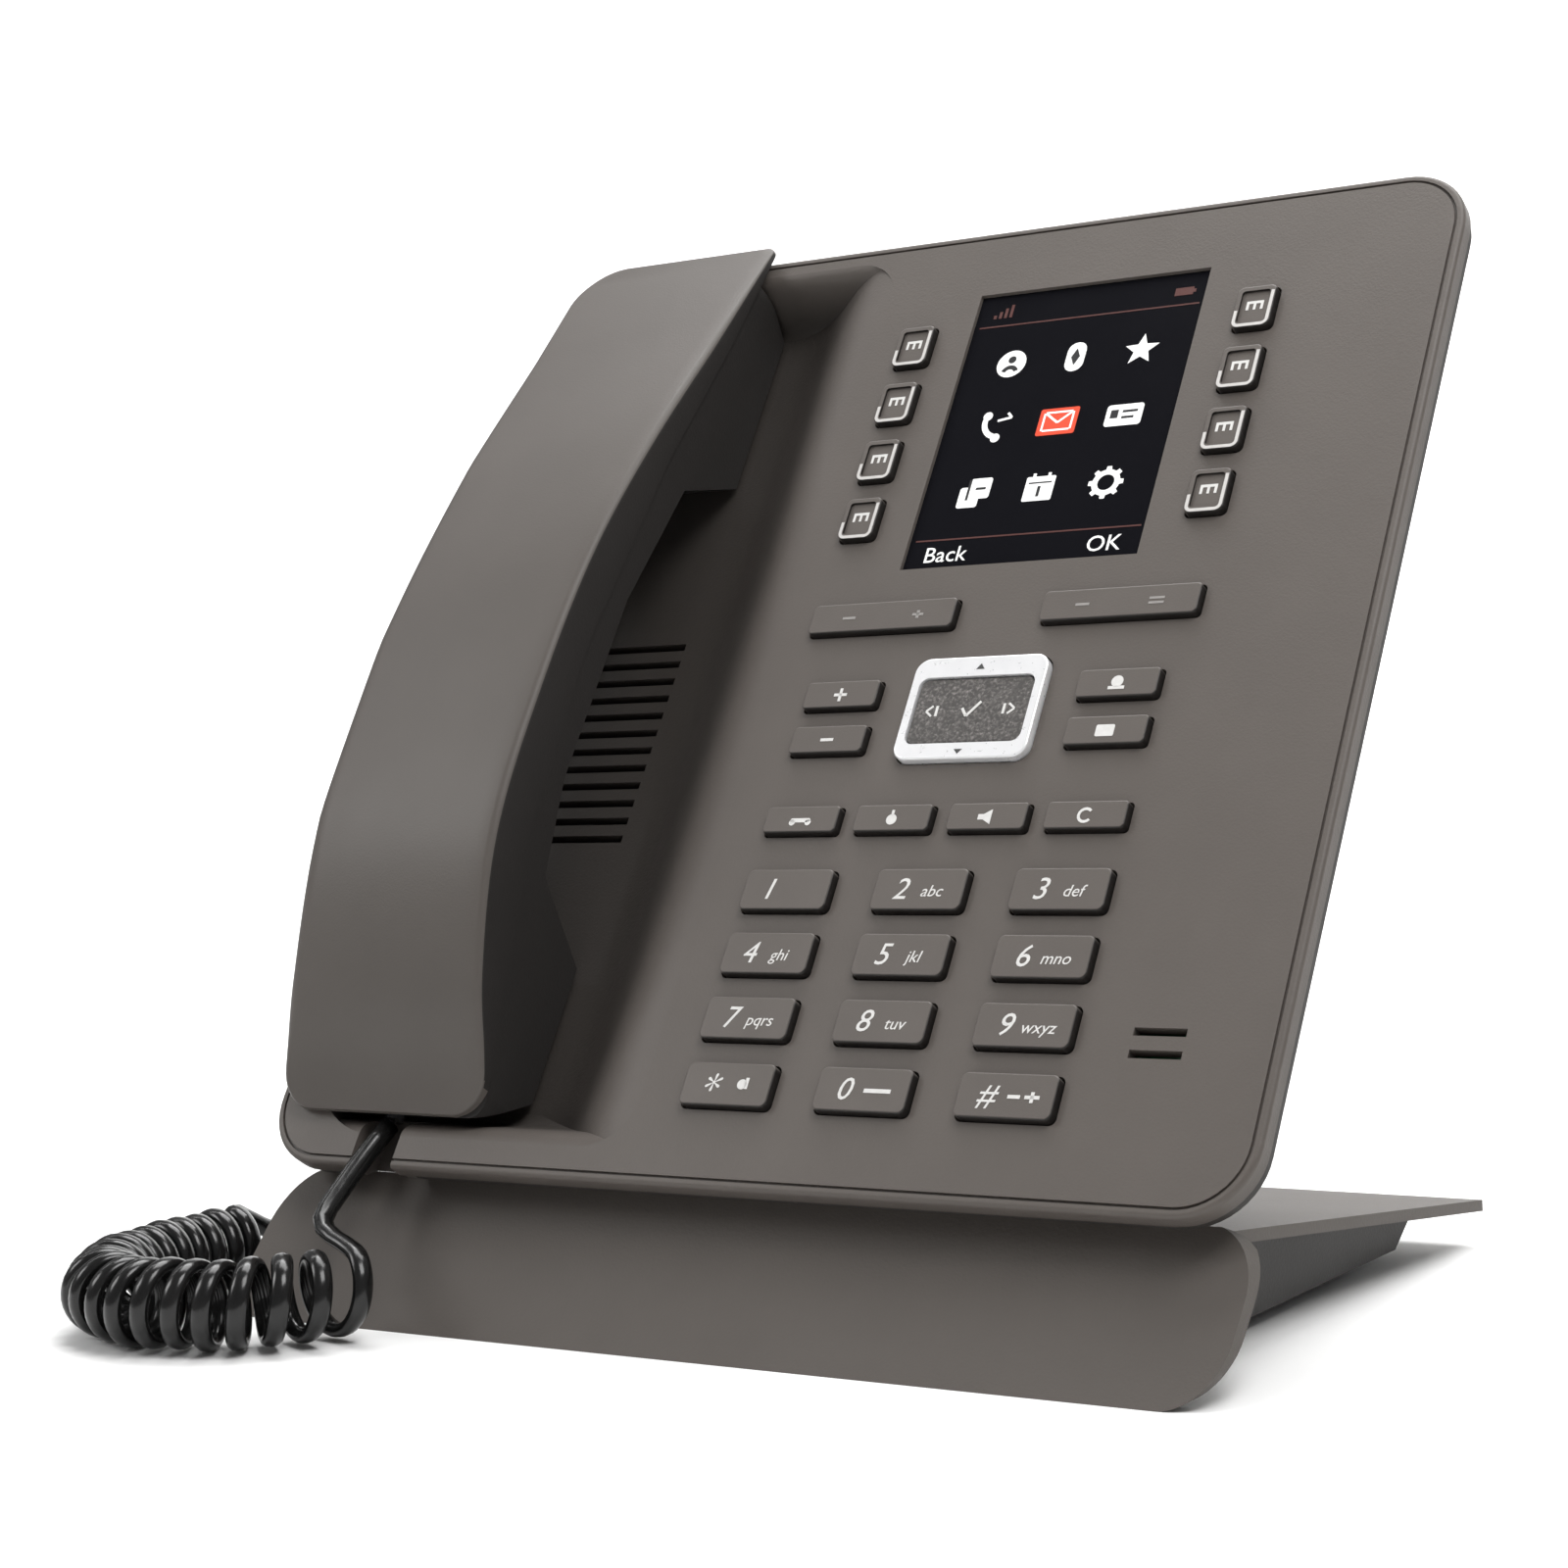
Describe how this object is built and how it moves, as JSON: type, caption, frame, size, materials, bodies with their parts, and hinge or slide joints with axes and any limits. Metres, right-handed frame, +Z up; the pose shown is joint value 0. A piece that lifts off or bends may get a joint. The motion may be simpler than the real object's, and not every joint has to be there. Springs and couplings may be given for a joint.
{
  "type": "desk ip phone",
  "caption": "Desktop telephone: tilted key slab on a wedge stand, colour display, sprung keys, rocking navigation key and a lift-off handset on a curly cord.",
  "frame": {"origin": "on the desk, under the middle of the slab across and the middle of the footprint front to back", "axes": "+Z up; +X to the right as a user faces the keys; +Y away from the user"},
  "size_m": [0.2149, 0.1649, 0.1913],
  "materials": {
    "cover": "fine spark-eroded texture",
    "housing": "fine texture",
    "handset": "smooth satin",
    "handset_inner": "fine texture",
    "stand": "fine texture",
    "keys": "satin",
    "silver_ring": "satin metallised",
    "nav_pad": "fine texture",
    "window": "gloss",
    "lcd": "gloss",
    "silicone": "matt",
    "circuit_board": "solder mask",
    "inner_parts": "matt",
    "steel": "plated",
    "rubber": "matt",
    "plug": "gloss",
    "cord": "gloss"
  },
  "bodies": {
    "root": {"base_lead": "cord", "base_plug": "plug", "coil_cord": "cord", "display_window": "window", "front_cover": "cover", "handset_lead": "cord", "handset_socket": "inner_parts", "housing_screws": "steel", "keypad_mat": "silicone", "lcd_module": "lcd", "loudspeaker": "inner_parts", "main_board": "circuit_board", "network_jacks": "inner_parts", "power_jack": "inner_parts", "rear_housing": "housing", "rubber_feet": "rubber", "stand_base": "housing", "stand_bracket": "housing", "stand_screws": "steel", "stand_shell": "stand"},
    "function_key_1_body": {"function_key_1": "keys"},
    "function_key_2_body": {"function_key_2": "keys"},
    "function_key_3_body": {"function_key_3": "keys"},
    "function_key_4_body": {"function_key_4": "keys"},
    "headset_key_body": {"headset_key": "keys"},
    "key_0_body": {"key_0": "keys"},
    "key_1_body": {"key_1": "keys"},
    "key_2_body": {"key_2": "keys"},
    "key_3_body": {"key_3": "keys"},
    "key_4_body": {"key_4": "keys"},
    "key_5_body": {"key_5": "keys"},
    "key_6_body": {"key_6": "keys"},
    "key_7_body": {"key_7": "keys"},
    "key_8_body": {"key_8": "keys"},
    "key_9_body": {"key_9": "keys"},
    "key_hash_body": {"key_hash": "keys"},
    "key_star_body": {"key_star": "keys"},
    "line_key_left_1_body": {"line_key_left_1": "keys"},
    "line_key_left_2_body": {"line_key_left_2": "keys"},
    "line_key_left_3_body": {"line_key_left_3": "keys"},
    "line_key_left_4_body": {"line_key_left_4": "keys"},
    "line_key_right_1_body": {"line_key_right_1": "keys"},
    "line_key_right_2_body": {"line_key_right_2": "keys"},
    "line_key_right_3_body": {"line_key_right_3": "keys"},
    "line_key_right_4_body": {"line_key_right_4": "keys"},
    "message_key_body": {"message_key": "keys"},
    "volume_down_key_body": {"volume_down_key": "keys"},
    "volume_up_key_body": {"volume_up_key": "keys"},
    "soft_key_left_body": {"soft_key_left": "keys"},
    "soft_key_right_body": {"soft_key_right": "keys"},
    "nav_ring_body": {"nav_ring": "silver_ring"},
    "nav_carrier_body": {"nav_carrier": "inner_parts"},
    "nav_pad_body": {"nav_pad": "nav_pad"},
    "handset": {"handset_outer_shell": "handset", "handset_inner_shell": "handset_inner", "receiver_capsule": "inner_parts", "microphone_capsule": "inner_parts", "handset_jack": "inner_parts", "handset_plug": "plug"},
    "hook_switch": {"hook_plunger": "housing"}
  },
  "joints": [
    {"name": "function_key_1_press", "type": "slide", "parent": "root", "child": "function_key_1_body", "axis": [0, 0.8339, -0.5519], "range_m": [0, 0.001], "stiffness_N_per_m": 400},
    {"name": "function_key_2_press", "type": "slide", "parent": "root", "child": "function_key_2_body", "axis": [0, 0.8339, -0.5519], "range_m": [0, 0.001], "stiffness_N_per_m": 400},
    {"name": "function_key_3_press", "type": "slide", "parent": "root", "child": "function_key_3_body", "axis": [0, 0.8339, -0.5519], "range_m": [0, 0.001], "stiffness_N_per_m": 400},
    {"name": "function_key_4_press", "type": "slide", "parent": "root", "child": "function_key_4_body", "axis": [0, 0.8339, -0.5519], "range_m": [0, 0.001], "stiffness_N_per_m": 400},
    {"name": "headset_key_press", "type": "slide", "parent": "root", "child": "headset_key_body", "axis": [0, 0.8339, -0.5519], "range_m": [0, 0.001], "stiffness_N_per_m": 400},
    {"name": "key_0_press", "type": "slide", "parent": "root", "child": "key_0_body", "axis": [0, 0.8339, -0.5519], "range_m": [0, 0.001], "stiffness_N_per_m": 400},
    {"name": "key_1_press", "type": "slide", "parent": "root", "child": "key_1_body", "axis": [0, 0.8339, -0.5519], "range_m": [0, 0.001], "stiffness_N_per_m": 400},
    {"name": "key_2_press", "type": "slide", "parent": "root", "child": "key_2_body", "axis": [0, 0.8339, -0.5519], "range_m": [0, 0.001], "stiffness_N_per_m": 400},
    {"name": "key_3_press", "type": "slide", "parent": "root", "child": "key_3_body", "axis": [0, 0.8339, -0.5519], "range_m": [0, 0.001], "stiffness_N_per_m": 400},
    {"name": "key_4_press", "type": "slide", "parent": "root", "child": "key_4_body", "axis": [0, 0.8339, -0.5519], "range_m": [0, 0.001], "stiffness_N_per_m": 400},
    {"name": "key_5_press", "type": "slide", "parent": "root", "child": "key_5_body", "axis": [0, 0.8339, -0.5519], "range_m": [0, 0.001], "stiffness_N_per_m": 400},
    {"name": "key_6_press", "type": "slide", "parent": "root", "child": "key_6_body", "axis": [0, 0.8339, -0.5519], "range_m": [0, 0.001], "stiffness_N_per_m": 400},
    {"name": "key_7_press", "type": "slide", "parent": "root", "child": "key_7_body", "axis": [0, 0.8339, -0.5519], "range_m": [0, 0.001], "stiffness_N_per_m": 400},
    {"name": "key_8_press", "type": "slide", "parent": "root", "child": "key_8_body", "axis": [0, 0.8339, -0.5519], "range_m": [0, 0.001], "stiffness_N_per_m": 400},
    {"name": "key_9_press", "type": "slide", "parent": "root", "child": "key_9_body", "axis": [0, 0.8339, -0.5519], "range_m": [0, 0.001], "stiffness_N_per_m": 400},
    {"name": "key_hash_press", "type": "slide", "parent": "root", "child": "key_hash_body", "axis": [0, 0.8339, -0.5519], "range_m": [0, 0.001], "stiffness_N_per_m": 400},
    {"name": "key_star_press", "type": "slide", "parent": "root", "child": "key_star_body", "axis": [0, 0.8339, -0.5519], "range_m": [0, 0.001], "stiffness_N_per_m": 400},
    {"name": "line_key_left_1_press", "type": "slide", "parent": "root", "child": "line_key_left_1_body", "axis": [0, 0.8339, -0.5519], "range_m": [0, 0.001], "stiffness_N_per_m": 400},
    {"name": "line_key_left_2_press", "type": "slide", "parent": "root", "child": "line_key_left_2_body", "axis": [0, 0.8339, -0.5519], "range_m": [0, 0.001], "stiffness_N_per_m": 400},
    {"name": "line_key_left_3_press", "type": "slide", "parent": "root", "child": "line_key_left_3_body", "axis": [0, 0.8339, -0.5519], "range_m": [0, 0.001], "stiffness_N_per_m": 400},
    {"name": "line_key_left_4_press", "type": "slide", "parent": "root", "child": "line_key_left_4_body", "axis": [0, 0.8339, -0.5519], "range_m": [0, 0.001], "stiffness_N_per_m": 400},
    {"name": "line_key_right_1_press", "type": "slide", "parent": "root", "child": "line_key_right_1_body", "axis": [0, 0.8339, -0.5519], "range_m": [0, 0.001], "stiffness_N_per_m": 400},
    {"name": "line_key_right_2_press", "type": "slide", "parent": "root", "child": "line_key_right_2_body", "axis": [0, 0.8339, -0.5519], "range_m": [0, 0.001], "stiffness_N_per_m": 400},
    {"name": "line_key_right_3_press", "type": "slide", "parent": "root", "child": "line_key_right_3_body", "axis": [0, 0.8339, -0.5519], "range_m": [0, 0.001], "stiffness_N_per_m": 400},
    {"name": "line_key_right_4_press", "type": "slide", "parent": "root", "child": "line_key_right_4_body", "axis": [0, 0.8339, -0.5519], "range_m": [0, 0.001], "stiffness_N_per_m": 400},
    {"name": "message_key_press", "type": "slide", "parent": "root", "child": "message_key_body", "axis": [0, 0.8339, -0.5519], "range_m": [0, 0.001], "stiffness_N_per_m": 400},
    {"name": "volume_down_key_press", "type": "slide", "parent": "root", "child": "volume_down_key_body", "axis": [0, 0.8339, -0.5519], "range_m": [0, 0.001], "stiffness_N_per_m": 400},
    {"name": "volume_up_key_press", "type": "slide", "parent": "root", "child": "volume_up_key_body", "axis": [0, 0.8339, -0.5519], "range_m": [0, 0.001], "stiffness_N_per_m": 400},
    {"name": "soft_key_left_rock", "type": "hinge", "parent": "root", "child": "soft_key_left_body", "pos_m": [0.00325, 0.00852, 0.11468], "axis": [0, 0.5519, 0.8339], "range_deg": [-2, 2], "stiffness_Nm_per_rad": 0.08},
    {"name": "soft_key_right_rock", "type": "hinge", "parent": "root", "child": "soft_key_right_body", "pos_m": [0.05005, 0.00852, 0.11468], "axis": [0, 0.5519, 0.8339], "range_deg": [-2, 2], "stiffness_Nm_per_rad": 0.08},
    {"name": "nav_ring_rock", "type": "hinge", "parent": "root", "child": "nav_ring_body", "pos_m": [0.02665, -0.00354, 0.09916], "axis": [1, 0, 0], "range_deg": [-2.5, 2.5], "stiffness_Nm_per_rad": 0.06},
    {"name": "nav_centre_press", "type": "slide", "parent": "root", "child": "nav_carrier_body", "axis": [0, 0.8339, -0.5519], "range_m": [0, 0.0006], "stiffness_N_per_m": 400},
    {"name": "nav_pad_rock", "type": "hinge", "parent": "nav_carrier_body", "child": "nav_pad_body", "pos_m": [0.02665, -0.00382, 0.09875], "axis": [0, 0.5519, 0.8339], "range_deg": [-2, 2], "stiffness_Nm_per_rad": 0.05},
    {"name": "handset_lift", "type": "slide", "parent": "root", "child": "handset", "axis": [0, -0.8339, 0.5519], "range_m": [0, 0.06]},
    {"name": "hook_switch_travel", "type": "slide", "parent": "root", "child": "hook_switch", "axis": [0, -0.8339, 0.5519], "range_m": [0, 0.003]}
  ],
  "couplings": [
    {"joint": "hook_switch_travel", "follows": "handset_lift", "ratio": 0.05}
  ]
}
